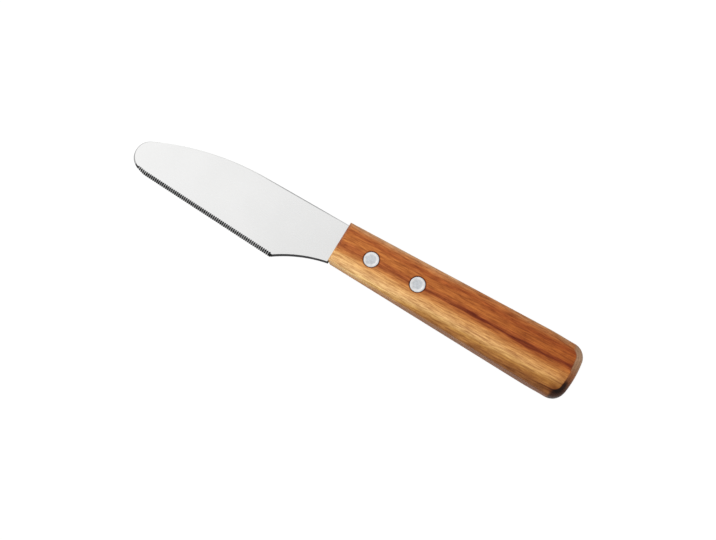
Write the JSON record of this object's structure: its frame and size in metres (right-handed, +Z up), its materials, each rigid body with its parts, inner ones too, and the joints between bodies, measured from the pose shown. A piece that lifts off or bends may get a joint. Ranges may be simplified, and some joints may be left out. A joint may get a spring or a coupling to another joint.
{
  "type": "butter knife",
  "caption": "Butter knife with a wide round-tipped steel blade, a finely toothed straight edge and a riveted wooden wedge handle.",
  "frame": {"origin": "on the surface that the knife lies on, under the middle of its box", "axes": "+X along the knife to the butt of the handle, +Y across it to the back of the blade, +Z up, out of the side that the teeth are ground on"},
  "size_m": [0.218, 0.0336, 0.013],
  "materials": {
    "blade_steel": "fine satin, ground crosswise on the toothed edge",
    "handle_wood": "oiled acacia, sanded smooth, with streaks from golden to dark red-brown",
    "rivet_metal": "satin, turned"
  },
  "bodies": {
    "root": {"blade": "blade_steel", "handle": "handle_wood", "front_rivet_male": "rivet_metal", "front_rivet_female": "rivet_metal", "rear_rivet_male": "rivet_metal", "rear_rivet_female": "rivet_metal"}
  },
  "joints": []
}
